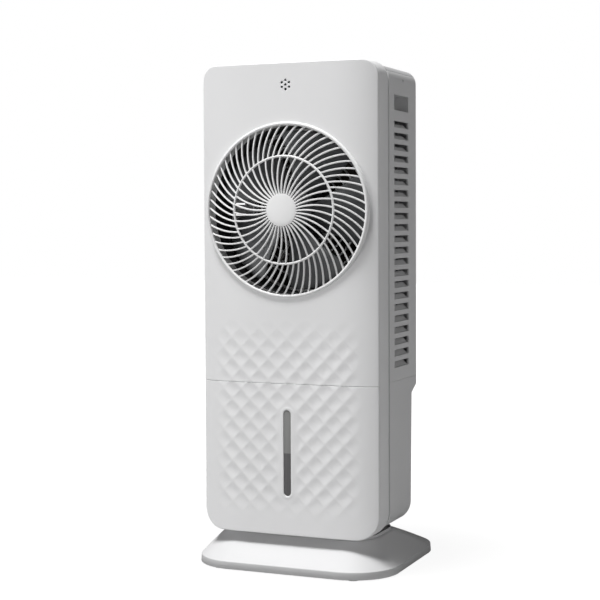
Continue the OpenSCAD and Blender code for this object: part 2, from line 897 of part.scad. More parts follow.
module drip_tray() {
    color("white") difference() {
        translate([-pad_x - 4, pad_y - 8, part_z]) cube([2 * pad_x + 8, pad_t + 16, 14]);
        translate([-pad_x - 4 + tray_wall, pad_y - 8 + tray_wall, part_z + tray_wall])
            cube([2 * pad_x + 8 - 2 * tray_wall, pad_t + 16 - 2 * tray_wall, 14]);
        translate([drain_x, drain_y, part_z - 1]) cylinder(h = 10, r = drain_r);
    }
}

module pad_frame() {
    color("whitesmoke") difference() {
        translate([-pad_x - tray_wall, pad_y - 2, tray_z])
            cube([2 * (pad_x + tray_wall), pad_t + 4, pad_top - tray_z]);
        translate([-pad_x, pad_y - 3, tray_z + tray_wall])
            cube([2 * pad_x, pad_t + 6, pad_top - tray_z - 2 * tray_wall]);
        for (i = [-4:4]) translate([i * 22, pad_y + pad_t / 2, tray_z - 1]) cylinder(h = pad_top, r = 3);
    }
}

module cooling_pad() {
    color("tan") translate([-pad_x, pad_y, tray_z + tray_wall])
        cube([2 * pad_x, pad_t, pad_top - tray_z - 2 * tray_wall]);
}

module water_tray() {
    color("white") difference() {
        translate([-pad_x - tray_wall, pad_y - 2, pad_top]) cube([2 * (pad_x + tray_wall), pad_t + 4, 16]);
        translate([-pad_x, pad_y - 2 + tray_wall, pad_top + tray_wall])
            cube([2 * pad_x, pad_t + 4 - 2 * tray_wall, 16]);
        for (i = [-4:4]) translate([i * 22, pad_y + pad_t / 2, pad_top - 1]) cylinder(h = 10, r = 1.5);
    }
}

// Upright hose with a bend over the edge of the water tray
module supply_hose() {
    color("lightgray") {
        translate([hose_x, hose_y, hose_foot]) difference() {
            union() {
                cylinder(h = hose_top - hose_foot, r = hose_r);
                translate([0, 0, part_z - hose_foot]) cylinder(h = 3, r = hose_r + 1.2);
            }
            translate([0, 0, -1]) cylinder(h = hose_top - hose_foot + 2, r = hose_in);
        }
        translate([hose_x, hose_y + hose_bend, hose_top]) rotate([90, 0, 90])
            rotate_extrude(angle = 180) translate([hose_bend, 0]) difference() {
                circle(hose_r);
                circle(hose_in);
            }
    }
}

module rear_grille() {
    w = rear_w - 2 * rear_gap;
    h = rear_h - 2 * rear_gap;
    bars = floor((h - 20) / rear_pitch);
    color("whitesmoke") translate([0, rear_in - 2, rear_z + rear_gap]) {
        difference() {
            translate([-w / 2, 0, 0]) cube([w, cabinet_wall + 3, h]);
            translate([-w / 2 + 8, -1, 8]) cube([w - 16, cabinet_wall + 5, h - 16]);
        }
        for (i = [1:bars]) translate([-w / 2 + 6, cabinet_wall + 2, i * (h - 4) / (bars + 1)])
            rotate([145, 0, 0]) cube([w - 12, 4.6, 1.6]);
        for (x = [-1, 0, 1]) translate([x * w / 4 - 1.5, 0, 6]) cube([3, 2, h - 12]);
    }
}

module dust_filter() {
    w = rear_w - 2 * rear_gap - 6;
    h = rear_h - 2 * rear_gap - 6;
    color("gray") translate([-w / 2, rear_in - 2 - 2, rear_z + rear_gap + 3]) cube([w, 2, h]);
}

// ---------- tank and its housing ----------

// Side profile of the tank housing, drawn with depth across and height up
module housing_profile(inset) {
    polygon([[cabinet_y, body_z - 1],
             [tank_foot_y - inset, body_z - 1],
             [tank_top_y - inset, chamfer_z + inset / 2],
             [rear_y - inset, lip_z + inset / 2],
             [rear_y - inset, part_z + 1],
             [cabinet_y, part_z + 1]]);
}

module along_x(x) {
    translate([-x, 0, 0]) rotate([90, 0, 90]) linear_extrude(2 * x) children();
}

module lower_housing() {
    color("whitesmoke") difference() {
        union() {
            difference() {
                intersection() {
                    along_y(cabinet_y, rear_y) lower_outline(cabinet_inset);
                    along_x(big / 4) housing_profile(0);
                }
                intersection() {
                    along_y(cabinet_y - 1, rear_y) lower_outline(cabinet_in, part_z - deck_t);
                    along_x(big / 4) translate([-nib, 0]) housing_profile(cabinet_wall);
                }
            }
            // neck that plugs into the lower band
            along_y(neck_y, cabinet_y + 3) difference() {
                lower_outline(neck_inset);
                lower_outline(neck_in, part_z - deck_t);
            }
            // rails under the tank
            for (s = [-1, 1]) translate([s * rail_x - rail_w / 2, neck_y, body_z + neck_inset])
                cube([rail_w, mouth_y - neck_y, tank_z - body_z - neck_inset]);
        }
        // mouth that the tank slides through
        along_y(mouth_y, rear_y + 1) lower_outline(neck_in, tunnel_z);
        // drain and hose holes in the deck
        translate([drain_x, drain_y, part_z - deck_t - 1]) cylinder(h = 10, r = drain_r);
        translate([hose_x, hose_y, part_z - deck_t - 1]) cylinder(h = 10, r = hose_r + fit_gap);
    }
}

// Rear face of the tank as depth at height z
function tank_face(z) = tank_foot_y + (z - body_z) / (chamfer_z - body_z) * tank_lean;

// Solid with the tank's round lower corners and leaning rear face
module tank_solid(inset, z_high) {
    intersection() {
        along_y(tank_front + inset, rear_y) lower_outline(neck_in + tank_gap + inset, z_high);
        along_x(big / 4) polygon([[tank_front, tank_z], [tank_face(tank_z) - inset * 1.4, tank_z],
                                  [tank_face(z_high) - inset * 1.4, z_high], [tank_front, z_high]]);
    }
}

module water_tank() {
    color("aliceblue", 0.8) difference() {
        tank_solid(0, tank_top);
        tank_solid(tank_wall, tank_top + 1);
        translate([-grip_w / 2, 0, tank_grip_z]) cube([grip_w, big, tank_grip_h]);
    }
}

module tank_grip_cup() {
    back = tank_face(tank_grip_z) - 24;
    color("gray") difference() {
        intersection() {
            tank_solid(tank_wall, tank_top);
            translate([-grip_w / 2 - cup_wall, back - cup_wall, tank_grip_z - cup_wall])
                cube([grip_w + 2 * cup_wall, big, tank_grip_h + 2 * cup_wall]);
        }
        translate([-grip_w / 2, back, tank_grip_z]) cube([grip_w, big, tank_grip_h]);
    }
}

module water_pump() {
    color("dimgray") translate([hose_x, hose_y, tank_z + tank_wall]) difference() {
        union() {
            translate([-28, -24, 0]) cube([34, 48, pump_h]);
            cylinder(h = pump_h + spigot_h, r = hose_r + 1);
        }
        translate([0, 0, pump_h - 10]) cylinder(h = spigot_h + 20, r = hose_in);
    }
}

module pump_riser() {
    riser_z = tank_z + tank_wall + pump_h + spigot_h;
    color("lightgray") translate([hose_x, hose_y, riser_z]) difference() {
        cylinder(h = tank_top - 1 - riser_z, r = hose_r);
        translate([0, 0, -1]) cylinder(h = tank_h, r = hose_in);
    }
}

// ---------- nodes ----------

base_plate();
base_cover();
rubber_feet();
base_screws();
lower_frame();
lower_front_panel();
level_window();
lower_housing();
water_tank();
tank_grip_cup();
water_pump();
pump_riser();
front_frame();
front_cover();
receiver_board();
front_grille();
hub_cap();
fan_duct();
rear_guard();
fan_rotor();
fan_nut();
fan_motor();
motor_shaft();
motor_screws();
cabinet();
left_grip_cup();
right_grip_cup();
side_screws();
top_cap();
display_lens();
control_board();
power_button();
speed_button();
cool_button();
timer_button();
drip_tray();
pad_frame();
cooling_pad();
water_tray();
supply_hose();
rear_grille();
dust_filter();
cord_inlet();
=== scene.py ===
"""Looks of a slim upright evaporative air cooler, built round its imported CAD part."""
import math

import bpy
import numpy as np
from mathutils import Euler, Matrix, Vector


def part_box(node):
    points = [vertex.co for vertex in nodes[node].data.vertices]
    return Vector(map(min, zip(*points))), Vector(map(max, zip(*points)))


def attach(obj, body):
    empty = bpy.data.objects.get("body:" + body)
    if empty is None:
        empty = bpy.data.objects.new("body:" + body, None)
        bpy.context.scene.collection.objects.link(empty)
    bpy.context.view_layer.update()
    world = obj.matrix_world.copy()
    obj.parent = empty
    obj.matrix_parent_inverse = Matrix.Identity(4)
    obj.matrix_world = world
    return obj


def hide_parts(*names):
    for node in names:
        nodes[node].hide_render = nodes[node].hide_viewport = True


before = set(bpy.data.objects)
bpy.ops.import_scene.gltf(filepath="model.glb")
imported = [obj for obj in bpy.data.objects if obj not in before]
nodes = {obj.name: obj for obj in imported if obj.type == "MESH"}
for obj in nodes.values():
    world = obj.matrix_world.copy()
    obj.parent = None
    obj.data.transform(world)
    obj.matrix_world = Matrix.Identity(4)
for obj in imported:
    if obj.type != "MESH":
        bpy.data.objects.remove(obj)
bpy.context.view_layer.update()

# ---------- camera ----------
# A long lens about level with the fan, standing to the right of the front so that the
# louvred side shows as a narrow strip.
camera_data = bpy.data.cameras.new("camera")
camera = bpy.data.objects.new("camera", camera_data)
bpy.context.scene.collection.objects.link(camera)
bpy.context.scene.camera = camera
camera_data.sensor_width = 36
camera_data.lens = 88.23
camera_data.shift_y = -0.0438
camera.location = (0.8655, -2.1013, 0.5250)
drop, heading, bank = 2.17, 23.03, -0.26
aim = Euler((math.radians(90 - drop), 0, math.radians(heading))).to_matrix()
camera.rotation_euler = (aim @ Matrix.Rotation(math.radians(bank), 3, "Z")).to_euler()

# ---------- studio ----------
# A pale floor without an end, one soft light almost overhead and a little to the front
# left, weaker ones in front and on the right, and a white surround behind it all.


def soft_light(name, place, size, power, aim=(0, 0, 0.4)):
    """Square area lamp of the given side in metres at place, facing the body's middle."""
    data = bpy.data.lights.new(name, "AREA")
    data.shape, data.size, data.energy = "SQUARE", size, power
    lamp = bpy.data.objects.new(name, data)
    bpy.context.scene.collection.objects.link(lamp)
    lamp.location = place
    lamp.rotation_euler = (Vector(aim) - Vector(place)).to_track_quat("-Z", "Y").to_euler()


soft_light("top_light", (-0.90, -1.32, 5.10), 1.5, 345)
soft_light("front_light", (-1.9, -3.4, 0.4), 1.5, 47)
soft_light("side_light", (4.2, -0.3, 0.55), 1.6, 31)


def wire(tree, *links):
    """Joins sockets of a node tree; a link is (node, its output, node, its input)."""
    for giver, output, taker, entry in links:
        tree.links.new(giver.outputs[output], taker.inputs[entry])


world = bpy.data.worlds.new("surround")
bpy.context.scene.world = world
world.use_nodes = True
wt = world.node_tree
wt.nodes.clear()
world_out = wt.nodes.new("ShaderNodeOutputWorld")
world_mix = wt.nodes.new("ShaderNodeMixShader")
ambient = wt.nodes.new("ShaderNodeBackground")
ambient.inputs["Strength"].default_value = 0.08
seen = wt.nodes.new("ShaderNodeBackground")
for shade in (ambient, seen):
    shade.inputs["Color"].default_value = (1, 1, 1, 1)
rays = wt.nodes.new("ShaderNodeLightPath")
either = wt.nodes.new("ShaderNodeMath")
either.operation = "MAXIMUM"
wire(wt, (rays, "Is Camera Ray", either, 0), (rays, "Is Transmission Ray", either, 1),
     (either, 0, world_mix, "Fac"), (ambient, 0, world_mix, 1), (seen, 0, world_mix, 2),
     (world_mix, 0, world_out, "Surface"))

floor_half = 9
floor_mesh = bpy.data.meshes.new("floor")
floor_mesh.from_pydata([(x * floor_half, y * floor_half, 0) for x, y in
                        ((-1, -1), (1, -1), (1, 1), (-1, 1))], [], [(0, 1, 2, 3)])
floor = bpy.data.objects.new("floor", floor_mesh)
bpy.context.scene.collection.objects.link(floor)
floor_mat = bpy.data.materials.new("pale_floor")
floor_mat.use_nodes = True
ft = floor_mat.node_tree
ft.nodes.clear()
floor_out = ft.nodes.new("ShaderNodeOutputMaterial")
floor_mix = ft.nodes.new("ShaderNodeMixShader")
floor_skin = ft.nodes.new("ShaderNodeBsdfDiffuse")
floor_skin.inputs["Color"].default_value = (0.30, 0.30, 0.30, 1)
floor_glow = ft.nodes.new("ShaderNodeEmission")
floor_glow.inputs["Strength"].default_value = 1.2
floor_rays = ft.nodes.new("ShaderNodeLightPath")
floor_place = ft.nodes.new("ShaderNodeTexCoord")
floor_reach = ft.nodes.new("ShaderNodeVectorMath")
floor_reach.operation = "LENGTH"
floor_fade = ft.nodes.new("ShaderNodeMapRange")
floor_fade.inputs["From Min"].default_value = 0.2
floor_fade.inputs["From Max"].default_value = 0.9
floor_fade.inputs["To Min"].default_value = 0.78
floor_share = ft.nodes.new("ShaderNodeMath")
floor_share.operation = "MULTIPLY"
wire(ft, (floor_place, "Object", floor_reach, 0), (floor_reach, "Value", floor_fade, "Value"),
     (floor_rays, "Is Camera Ray", floor_share, 0), (floor_fade, "Result", floor_share, 1),
     (floor_share, 0, floor_mix, "Fac"), (floor_skin, 0, floor_mix, 1),
     (floor_glow, 0, floor_mix, 2), (floor_mix, 0, floor_out, "Surface"))
floor_mesh.materials.append(floor_mat)
bpy.context.scene.view_settings.view_transform = "Standard"

# ---------- base cover ----------
# One white moulding: an upright rim, a rounded shoulder and a skirt that slopes up to
# the neck that carries the body. It is screwed to the base plate from below.


def moulded_plastic(name, colour, rough, grain=0.06, edge=0.0):
    """Node material of injection-moulded plastic.

    Roughness and colour drift a little over centimetres, and a spark-eroded grain well
    under a millimetre bumps the surface. A Bevel node of radius edge softens the corners
    of solids that come straight from the CAD.
    """
    mat = bpy.data.materials.new(name)
    mat.use_nodes = True
    tree = mat.node_tree
    skin = tree.nodes["Principled BSDF"]
    skin.inputs["IOR"].default_value = 1.48
    place = tree.nodes.new("ShaderNodeTexCoord")
    drift = tree.nodes.new("ShaderNodeTexNoise")
    drift.inputs["Scale"].default_value = 9
    drift.inputs["Detail"].default_value = 3
    tint = tree.nodes.new("ShaderNodeMix")
    tint.data_type = "RGBA"
    tint.inputs["A"].default_value = (*[c * 0.985 for c in colour], 1)
    tint.inputs["B"].default_value = (*[min(1, c * 1.012) for c in colour], 1)
    gloss = tree.nodes.new("ShaderNodeMapRange")
    gloss.inputs["To Min"].default_value = rough - 0.04
    gloss.inputs["To Max"].default_value = rough + 0.05
    fine = tree.nodes.new("ShaderNodeTexNoise")
    fine.inputs["Scale"].default_value = 1400
    fine.inputs["Detail"].default_value = 2
    bump = tree.nodes.new("ShaderNodeBump")
    bump.inputs["Strength"].default_value = grain
    bump.inputs["Distance"].default_value = 0.0004
    wire(tree, (place, "Object", drift, "Vector"), (place, "Object", fine, "Vector"),
         (drift, "Fac", tint, "Factor"), (tint, "Result", skin, "Base Color"),
         (drift, "Fac", gloss, "Value"), (gloss, "Result", skin, "Roughness"),
         (fine, "Fac", bump, "Height"), (bump, "Normal", skin, "Normal"))
    if edge:
        soft = tree.nodes.new("ShaderNodeBevel")
        soft.samples = 4
        soft.inputs["Radius"].default_value = edge
        wire(tree, (soft, "Normal", bump, "Normal"))
    return mat


def surface_object(name, points, faces, mat, sharp=None):
    """Mesh object from an array of points in metres and a list of face index arrays."""
    mesh = bpy.data.meshes.new(name)
    mesh.from_pydata(np.asarray(points, float).reshape(-1, 3), [], faces)
    mesh.update()
    obj = bpy.data.objects.new(name, mesh)
    bpy.context.scene.collection.objects.link(obj)
    mesh.materials.append(mat)
    mesh.polygons.foreach_set("use_smooth", np.ones(len(mesh.polygons), bool))
    if sharp:
        mesh.set_sharp_from_angle(angle=math.radians(sharp))
    return obj


def grid_faces(rows, cols, close_rows=False, close_cols=False, start=0):
    """Quads of a rows by cols grid of points, wrapped round where an axis is closed."""
    i = np.arange(rows if close_rows else rows - 1)
    j = np.arange(cols if close_cols else cols - 1)
    i, j = np.meshgrid(i, j, indexing="ij")
    i2, j2 = (i + 1) % rows, (j + 1) % cols
    quads = np.stack([i * cols + j, i * cols + j2, i2 * cols + j2, i2 * cols + j], -1)
    return (quads.reshape(-1, 4) + start).tolist()


def round_rect_path(half_w, half_h, radius, per_corner=16, per_side=12):
    """Closed path round a rectangle with round corners, and its outward normals.

    Each corner is a quarter circle of the given radius about (half_w - radius,
    half_h - radius), and straight runs join them, anticlockwise from the right side.
    """
    points, normals = [], []
    for k in range(4):
        turn = np.pi / 2 * k
        centre = np.array([(1.0, 1.0, -1.0, -1.0)[k], (-1.0, 1.0, 1.0, -1.0)[k]])
        centre = centre * np.array([half_w - radius, half_h - radius])
        angle = turn + np.linspace(-np.pi / 2, 0, per_corner)
        ring = np.stack([np.cos(angle), np.sin(angle)], -1)
        points.append(centre + radius * ring)
        normals.append(ring)
    out_p, out_n = [], []
    for k in range(4):
        nxt = points[(k + 1) % 4][0]
        share = np.linspace(0, 1, per_side + 2)[1:-1, None]
        out_p += [points[k], points[k][-1] * (1 - share) + nxt * share]
        out_n += [normals[k], np.repeat(normals[k][-1][None], per_side, 0)]
    return np.concatenate(out_p), np.concatenate(out_n)


white_shell = moulded_plastic("white_shell", (0.81, 0.81, 0.815), 0.42)

base_low, base_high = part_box("base_cover")
base_half = (base_high.x, base_high.y)
base_corner, neck_corner = 0.071, 0.044
rim_foot, rim_top = base_low.z, base_low.z + 0.0118
rim_draft, foot_round = 0.0006, 0.0003
shoulder, shoulder_turn = 0.0014, np.pi / 2 * 0.72
neck_half, neck_centre, neck_level = (0.124, 0.068), -0.029, 0.0497


def skirt_rings():
    """Rings of the base cover from its inner foot, up the rim and shoulder, to the neck.

    A ring is a round rectangle; along the skirt its half sizes, centre and corner radius
    go linearly from the rim's to the neck's, while its height rises a very little faster
    at first, which gives the skirt a slight crown.
    """
    rings = []

    def add(inset, level, share=0.0):
        half = [(b - inset) * (1 - share) + n * share for b, n in zip(base_half, neck_half)]
        radius = (base_corner - inset) * (1 - share) + neck_corner * share
        path, _ = round_rect_path(half[0], half[1], radius, 22, 14)
        rings.append(np.insert(path + [0, neck_centre * share], 2, level, axis=1))

    add(0.003, rim_foot + foot_round)
    add(foot_round, rim_foot)
    add(0.0, rim_foot + foot_round)
    add(rim_draft, rim_top - shoulder)
    for turn in np.linspace(0.1, shoulder_turn, 6):
        add(rim_draft + shoulder * (1 - math.cos(turn)),
            rim_top - shoulder + shoulder * math.sin(turn))
    start_inset = rim_draft + shoulder * (1 - math.cos(shoulder_turn))
    start_level = rings[-1][0, 2]
    for share in np.linspace(0.03, 1, 18):
        rise = share + 0.02 * math.sin(math.pi * share)
        add(start_inset, start_level + (neck_level - start_level) * min(rise, 1.0), share)
    return rings


rings = skirt_rings()
ring_count, ring_points = len(rings), len(rings[0])
neck_start = ring_count * ring_points
neck_path, _ = round_rect_path(0.120, 0.064, 0.040, 22, 14)
for level in (0.0485, 0.0538):
    rings.append(np.insert(neck_path + [0, neck_centre], 2, level, axis=1))
base_points = np.concatenate(rings)
base_faces = grid_faces(ring_count, ring_points, close_cols=True)
base_faces += grid_faces(2, len(neck_path), close_cols=True, start=neck_start)
base_faces.append(list(range(neck_start - ring_points, neck_start)))
base_white = moulded_plastic("base_white", (0.605, 0.605, 0.61), 0.62)
base_cover = surface_object("base_moulding", base_points, base_faces, base_white, 50)
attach(base_cover, "cooler")
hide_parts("base_cover")

# ---------- base plate, feet and screws ----------
# The plate closes the base from below. Dark rubber discs stand in its recesses, and
# countersunk screws hold it to the cover's posts.


def dress(node, mat):
    """Gives a CAD node's object one node material in all its slots."""
    slots = nodes[node].material_slots
    for slot in slots:
        slot.material = mat
    if not slots:
        nodes[node].data.materials.append(mat)


def brushed_steel(name, colour, rough):
    """Node material of bright steel, with a roughness that varies along fine streaks."""
    mat = bpy.data.materials.new(name)
    mat.use_nodes = True
    tree = mat.node_tree
    skin = tree.nodes["Principled BSDF"]
    skin.inputs["Metallic"].default_value = 1.0
    skin.inputs["Base Color"].default_value = (*colour, 1)
    place = tree.nodes.new("ShaderNodeTexCoord")
    stretch = tree.nodes.new("ShaderNodeMapping")
    stretch.inputs["Scale"].default_value = (3000, 60, 3000)
    streak = tree.nodes.new("ShaderNodeTexNoise")
    gloss = tree.nodes.new("ShaderNodeMapRange")
    gloss.inputs["To Min"].default_value = rough - 0.08
    gloss.inputs["To Max"].default_value = rough + 0.10
    wire(tree, (place, "Object", stretch, "Vector"), (stretch, "Vector", streak, "Vector"),
         (streak, "Fac", gloss, "Value"), (gloss, "Result", skin, "Roughness"))
    return mat


plate_grey = moulded_plastic("plate_grey", (0.62, 0.62, 0.63), 0.5, 0.12, 0.0006)
foot_rubber = moulded_plastic("foot_rubber", (0.03, 0.03, 0.03), 0.75, 0.3, 0.0005)
screw_steel = brushed_steel("screw_steel", (0.62, 0.62, 0.63), 0.32)
dress("base_plate", plate_grey)
dress("rubber_feet", foot_rubber)
dress("base_screws", screw_steel)

# ---------- proud bands ----------
# Two U-shaped mouldings of the frame, one above and one below the parting line. They
# stand 3 mm outside the cabinet and carry the front covers on a flange.

body_low, body_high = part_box("lower_frame")[0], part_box("front_frame")[1]
part_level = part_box("lower_frame")[1].z
body_half_w = body_high.x
body_mid = (body_low.z + body_high.z) / 2
body_half_h = (body_high.z - body_low.z) / 2
body_corner, upper_corner = 0.034, 0.024
band_front, band_rear = body_low.y, body_high.y
band_wall, flange_reach, flange_thick = 0.004, 0.015, 0.003
front_round, rear_round = 0.002, (0.0024, 0.005)


def band_section():
    """Closed section of the band as insets and depths: a wall with a quarter circle at
    the front and a quarter ellipse at the rear, and a flange turned inwards."""
    flange_rear = band_front + flange_thick
    outer = [(front_round * (1 - math.cos(t)), band_front + front_round * (1 - math.sin(t)))
             for t in np.linspace(np.pi / 2, 0, 7)]
    back = [(rear_round[0] * (1 - math.cos(t)), band_rear - rear_round[1] * (1 - math.sin(t)))
            for t in np.linspace(0, np.pi / 2, 6)]
    return np.array([(flange_reach, flange_rear), (flange_reach, band_front)] + outer + back
                    + [(band_wall, band_rear), (band_wall, flange_rear)])


def turned(faces):
    """The same faces with their corners in reverse, so that they face the other way."""
    return [face[::-1] for face in faces]


def band_object(name, upper):
    """Sweeps the band's section along the half of the body's outline above or below the
    parting line: a point is the outline's point moved in by the inset."""
    corner = upper_corner if upper else body_corner
    path, normal = round_rect_path(body_half_w, body_half_h, corner, 20, 20)
    path = path + [0, body_mid]
    keep = path[:, 1] > part_level if upper else path[:, 1] < part_level
    order = np.flatnonzero(keep)
    jump = np.flatnonzero(np.diff(order) > 1)
    if len(jump):
        order = np.concatenate([order[jump[0] + 1:], order[:jump[0] + 1]])
    path, normal = path[order], normal[order]
    ends = [np.array([[np.sign(path[k, 0]) * body_half_w, part_level]]) for k in (0, -1)]
    path = np.concatenate([ends[0], path, ends[1]])
    normal = np.concatenate([normal[:1], normal, normal[-1:]])
    section = band_section()
    rows, cols = len(path), len(section)
    points = np.empty((rows, cols, 3))
    moved = path[:, None] - normal[:, None] * section[None, :, :1]
    points[..., 0], points[..., 2] = moved[..., 0], moved[..., 1]
    points[..., 1] = section[None, :, 1]
    faces = turned(grid_faces(rows, cols, close_cols=True))
    faces += [list(range(cols))[::-1], list(range((rows - 1) * cols, rows * cols))]
    return surface_object(name, points, faces, band_grey, 40)


band_grey = moulded_plastic("band_grey", (0.84, 0.84, 0.845), 0.42)
for name, node in (("upper_band", "front_frame"), ("lower_band", "lower_frame")):
    band = band_object(name, node == "front_frame")
    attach(band, "cooler")
    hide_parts(node)

# ---------- front covers ----------
# Two white mouldings that snap to the flange. They bow forward to the centre line, roll
# back at their edges, and share a field of shallow dished diamonds.

cover_edge_level = -0.105
cover_bow, cover_wall = 0.012, 0.0022
cover_inset, edge_round = 0.0006, 0.0016
seam_half, seam_round = 0.00025, 0.0004
cell_width, cell_height, relief = 0.030, 0.031, 0.0008
window_level, slot_half = 0.177, (0.006, 0.064)
fan_centre, grille_opening = Vector((0, 0, 0.5367)), 0.1275


def edge_distance(x, z):
    """Distance inwards from the covers' outline, a round rectangle 0.6 mm inside the
    band's: the usual signed distance to a rectangle, with its corners taken as arcs."""
    half_w, half_h = body_half_w - cover_inset, body_half_h - cover_inset
    radius = np.where(z > body_mid, upper_corner, body_corner) - cover_inset
    qx, qz = np.abs(x) - (half_w - radius), np.abs(z - body_mid) - (half_h - radius)
    outside = np.hypot(np.maximum(qx, 0), np.maximum(qz, 0))
    return radius - outside - np.minimum(np.maximum(qx, qz), 0)


def diamond_depth(x, z):
    """Depth of the dished diamonds: the product of powers of two sine arches, one across
    each diagonal strip, deepest in a cell's middle and zero with a crease on its ridges.
    The sharper ridges change direction across the centre line, and the whole fades
    towards the field's edges and round the level window."""
    along, up = x / cell_width, (z - 0.1) / cell_height
    rising = np.abs(np.sin(np.pi * (along - up)))
    falling = np.abs(np.sin(np.pi * (along + up)))
    right = 1 / (1 + np.exp(-x / 0.02))
    arch = rising ** 1.2 * falling ** 0.4 * right + rising ** 0.4 * falling ** 1.2 * (1 - right)

    def ramp(value, low, high):
        t = np.clip((value - low) / (high - low), 0, 1)
        return t * t * (3 - 2 * t)

    field = ramp(z, 0.074, 0.120) * (1 - ramp(z, 0.315, 0.390))
    field = field * (1 - ramp(np.abs(x), 0.092, 0.124))
    beside = np.hypot(np.maximum(np.abs(z - window_level) - 0.060, 0), x)
    return relief * arch * field * ramp(beside, 0.008, 0.022)


def cover_front(x, z, seam):
    """Depth coordinate of the covers' face: the bow, a sixth power of the distance from
    the centre line, less a quarter round at the outline and a finer one at the seam, and
    the diamonds, with a low bell-shaped lip round the level window."""

    def quarter_round(distance, radius):
        inside = np.clip(distance, 0, radius)
        return radius - np.sqrt(np.maximum(radius ** 2 - (radius - inside) ** 2, 0))

    bow = cover_edge_level - cover_bow * (1 - (np.abs(x) / body_half_w) ** 6)
    roll = quarter_round(edge_distance(x, z), edge_round)
    crease = quarter_round(np.abs(z - seam), seam_round)
    lip = np.hypot(np.maximum(np.abs(z - window_level) - 0.058, 0), x)
    raised = 0.0004 * np.exp(-((lip - 0.0085) / 0.0012) ** 2)
    return bow + roll + crease + diamond_depth(x, z) - raised


def cover_object(name, low, high, seam, hole):
    """Grid over one cover: rows of height, and across each row columns that run to the
    outline's width there, closer together near the edges. Its border is repeated at the
    band's front, which makes the return wall that stands on the flange."""
    fine = np.array([0, 0.0001, 0.0003, 0.0006, 0.001, 0.0015, 0.0021, 0.003, 0.0042, 0.0056])
    margin, half_w = 0.007, body_half_w - cover_inset
    count = int((high - low - 2 * margin) / 0.0015)
    rows = np.concatenate([low + fine, np.linspace(low + margin, high - margin, count),
                           (high - fine)[::-1]])
    half = np.linspace(0, half_w - margin, 84)[1:]
    side = np.concatenate([half, (half_w - fine)[::-1]])
    across = np.concatenate([-side[::-1], [0], side]) / half_w
    corner = np.where(rows > body_mid, upper_corner, body_corner)
    rise = np.maximum(np.abs(rows - body_mid) - (body_half_h - corner), 0)
    bulge = np.sqrt(np.maximum((corner - cover_inset) ** 2 - rise ** 2, 0))
    x = across[None] * (body_half_w - corner + bulge)[:, None]
    z = np.repeat(rows[:, None], x.shape[1], 1)
    y = np.pad(cover_front(x, z, seam), 1, constant_values=band_front)
    x, z = np.pad(x, 1, mode="edge"), np.pad(z, 1, mode="edge")
    points = np.stack([x, y, z], -1).reshape(-1, 3)
    faces = np.array(grid_faces(*x.shape))
    # three points meet at each corner of the border: one is left out, two become one
    cols = x.shape[1]
    ends = np.array([0, cols - 1, x.size - cols, x.size - 1])
    faces = faces[~np.isin(faces, ends).any(1)]
    same_place = np.arange(x.size)
    same_place[ends + [1, -1, 1, -1]] = ends + [cols, cols, -cols, -cols]
    faces = same_place[faces]
    if hole:
        middle = points[faces].mean(1)
        away = np.hypot(middle[:, 0], middle[:, 2] - fan_centre.z)
        faces = faces[away > hole]
    used, faces = np.unique(faces, return_inverse=True)
    obj = surface_object(name, points[used], faces.reshape(-1, 4).tolist(), white_shell, 45)
    wall = obj.modifiers.new("wall", "SOLIDIFY")
    wall.thickness, wall.offset = cover_wall, -1
    return obj


over_seam, under_seam = part_level + seam_half, part_level - seam_half
upper_cover = cover_object("upper_cover", over_seam, body_high.z - cover_inset,
                           over_seam, grille_opening)
lower_cover = cover_object("lower_cover", body_low.z + cover_inset, under_seam,
                           under_seam, None)
for cover, node in ((upper_cover, "front_cover"), (lower_cover, "lower_front_panel")):
    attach(cover, "cooler")
    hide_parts(node)


def cut(piece, name, points, faces):
    """Takes a closed cutter away from a piece with an exact Boolean, and drops it."""
    cutter = surface_object(name, points, faces, white_shell)
    for mod in list(piece.modifiers):
        with bpy.context.temp_override(object=piece, active_object=piece):
            bpy.ops.object.modifier_apply(modifier=mod.name)
    bite = piece.modifiers.new(name, "BOOLEAN")
    bite.operation, bite.solver, bite.object = "DIFFERENCE", "EXACT", cutter
    with bpy.context.temp_override(object=piece, active_object=piece):
        bpy.ops.object.modifier_apply(modifier=bite.name)
    bpy.data.objects.remove(cutter)


def prism(outline, front, rear):
    """Points and faces of an outline in X and Z carried from one depth to another."""
    count = len(outline)
    rings = [np.insert(outline, 1, depth, axis=1) for depth in (front, rear)]
    faces = turned(grid_faces(2, count, close_cols=True))
    faces += [list(range(count)), list(range(count, 2 * count))[::-1]]
    return np.concatenate(rings), faces


def joined(parts):
    """One list of points and one of faces from several."""
    points, faces, start = [], [], 0
    for pts, fcs in parts:
        points.append(pts)
        faces += [[i + start for i in f] for f in fcs]
        start += len(pts)
    return np.concatenate(points), faces


receiver_level, hole_radius, hole_circle = 0.7205, 0.0019, 0.0066
turn = np.linspace(0, 2 * np.pi, 20, endpoint=False)
hole = np.stack([np.cos(turn), np.sin(turn)], -1) * hole_radius + [0, receiver_level]
spread = np.radians(np.arange(30, 390, 60))
hole_places = np.vstack([[(0, 0)], np.stack([np.cos(spread), np.sin(spread)], -1) * hole_circle])
cut(upper_cover, "receiver_holes",
    *joined([prism(hole + place, -0.125, -0.110) for place in hole_places]))
slot_path, _ = round_rect_path(*slot_half, 0.00599, 16, 4)
cut(lower_cover, "window_slot", *prism(slot_path + [0, window_level], -0.125, -0.105))

# ---------- level window ----------
# A strip of clear grey plastic pressed into the slot from behind. The tank's water line
# shows through it as a darker lower half.

